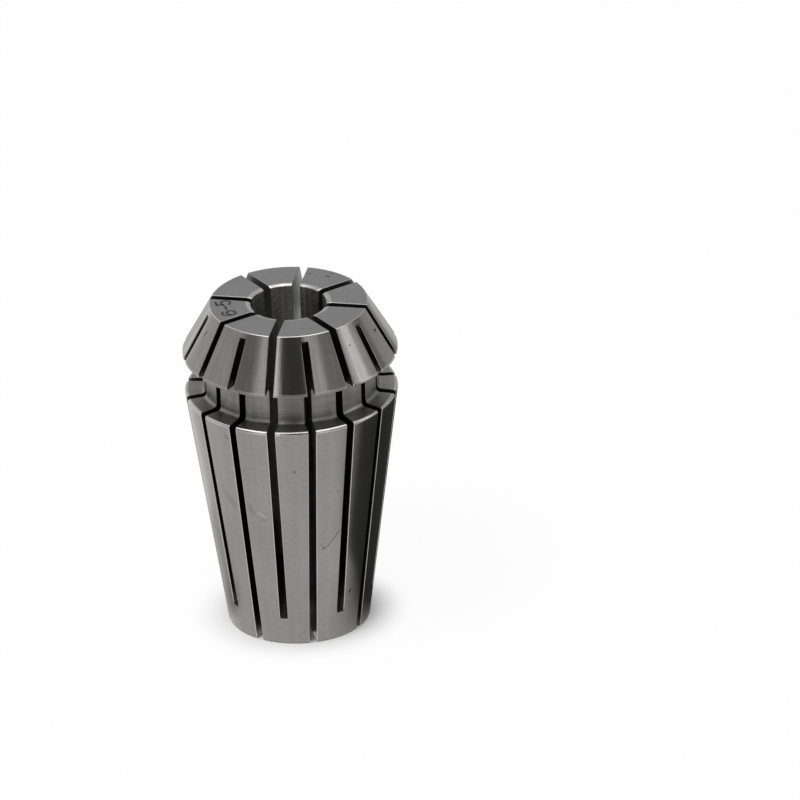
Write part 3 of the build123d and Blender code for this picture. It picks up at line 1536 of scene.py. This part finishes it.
@dataclass
class Studio:
    """White table, light tent, one soft lamp and the camera."""

    azimuth: float = 11.71
    elevation: float = 26.714
    roll: float = -1.858
    distance: float = 1242.75
    aim_height: float = 13.75
    aim_right: float = 8.4
    aim_up: float = 4.519
    focal_pixels: float = 15687.7
    frame_pixels: float = 800.0
    sensor_width: float = 36.0
    nearest: float = 0.01
    table_size: float = 2.0
    table_squares: int = 4
    table_white: float = 0.92
    shade_start: float = 5.2
    shade_end: float = 9.0
    room_level: float = 0.75
    lamp_azimuth: float = -30.0
    lamp_elevation: float = 60.0
    lamp_distance: float = 0.6
    lamp_size: float = 0.4
    lamp_power: float = 1.6

    def camera(self) -> None:
        """Sets up the camera, which looks down at the collet from the front."""
        lean = math.radians(self.roll)
        back = toward(self.azimuth, self.elevation)
        level = toward(self.azimuth + 90.0, 0.0)
        rise = back.cross(level)
        right = level * math.cos(lean) + rise * math.sin(lean)
        up = rise * math.cos(lean) - level * math.sin(lean)
        aim = UP * self.aim_height + right * self.aim_right + up * self.aim_up
        lens = bpy.data.cameras.new("studio_camera")
        lens.sensor_width = self.sensor_width
        lens.lens = self.focal_pixels / self.frame_pixels * self.sensor_width
        lens.clip_start = self.nearest
        camera = place_object("studio_camera", lens)
        matrix = Matrix((right, up, back)).transposed().to_4x4()
        matrix.translation = (aim + back * self.distance) * MM
        camera.matrix_world = matrix
        bpy.context.scene.camera = camera

    def table(self) -> Object:
        """Makes the white table, which keeps a faint shadow of the collet.

        Returns:
            The table.
        """
        shell, squares = bmesh.new(), self.table_squares
        bmesh.ops.create_grid(shell, x_segments=squares, y_segments=squares, size=self.table_size)
        mesh = as_mesh(shell, "table")
        paint = bpy.data.materials.new("white_table")
        paint.use_nodes = True
        tree = paint.node_tree
        tree.nodes.clear()
        place = add_node(tree, "ShaderNodeTexCoord").outputs["Object"]
        reach = add_node(tree, VECTOR, (place,), operation="LENGTH")
        clear = (reach, self.shade_start * MM, self.shade_end * MM, 0.0, self.table_white)
        clear = add_node(tree, RANGE, clear, interpolation_type="SMOOTHSTEP")
        share = add_node(tree, MATH, (self._seen_or_mirrored(tree), clear), operation="MULTIPLY")
        lit = add_node(tree, "ShaderNodeBsdfDiffuse", {"Color": linear("FFFFFF")})
        white = add_node(tree, "ShaderNodeEmission", {"Strength": 1.0})
        mixed = add_node(tree, "ShaderNodeMixShader", (share, lit, white))
        add_node(tree, "ShaderNodeOutputMaterial", {"Surface": mixed})
        mesh.materials.append(paint)
        return place_object("table", mesh)

    @staticmethod
    def _seen_or_mirrored(tree: NodeTree) -> Node:
        """One where the camera or a mirror-like surface looks, and nothing elsewhere."""
        path = add_node(tree, "ShaderNodeLightPath").outputs
        return add_node(
            tree, MATH, (path["Is Camera Ray"], path["Is Glossy Ray"]), operation="MAXIMUM"
        )

    def room(self) -> None:
        """Gives the room white walls to the eye, and a plain level as light."""
        world = bpy.data.worlds.new("white_room")
        world.use_nodes = True
        tree = world.node_tree
        tree.nodes.clear()
        levels = (self._seen_or_mirrored(tree), 0.0, 1.0, self.room_level, 1.0)
        level = add_node(tree, RANGE, levels)
        sky = add_node(tree, "ShaderNodeBackground", {"Strength": level})
        add_node(tree, "ShaderNodeOutputWorld", {"Surface": sky})
        bpy.context.scene.world = world

    def lamp(self) -> None:
        """Hangs one soft lamp above and to the left, for the shadow on the table."""
        data = bpy.data.lights.new("soft_lamp", "AREA")
        data.size = self.lamp_size
        data.energy = self.lamp_power
        light = place_object("soft_lamp", data)
        way = toward(self.lamp_azimuth, self.lamp_elevation)
        light.location = way * self.lamp_distance
        light.rotation_euler = way.to_track_quat("Z", "Y").to_euler()
        light.visible_glossy = False


def main() -> None:
    """Builds the collet, dresses it and sets up the studio."""
    logging.basicConfig(level=logging.INFO, format="%(name)s: %(message)s")
    bpy.context.scene.view_settings.view_transform = "Standard"
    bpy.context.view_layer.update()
    form = ColletForm()
    finishes = {
        Region.GROUND: GROUND_STEEL.material(),
        Region.TURNED: TURNED_STEEL.material(),
        Region.FACED: FACED_STEEL.material(),
        Region.BORE: BORE_STEEL.material(),
        Region.SAWN: SAWN_STEEL.material(),
        Region.EDGE: EDGE_STEEL.material(),
        Region.KERF_END: KERF_END_STEEL.material(),
        Region.NOSE: NOSE_STEEL.material(),
    }
    collet = Collet(form).build(finishes)
    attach(collet, BODY)
    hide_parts(CAD_NODE)
    LOG.info("%s: %d faces", collet.name, len(collet.data.polygons))
    mark = RangeMark(face_height=form.length).build(LaserMark().material())
    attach(mark, BODY)
    LOG.info("%s: %d faces", mark.name, len(mark.data.polygons))
    studio = Studio()
    studio.camera()
    studio.room()
    studio.lamp()
    studio.table()
    for cloth in LightTent().build(studio.azimuth, form.length / 2):
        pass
    DarkFlag().build(studio.azimuth)


if __name__ == "__main__":
    main()
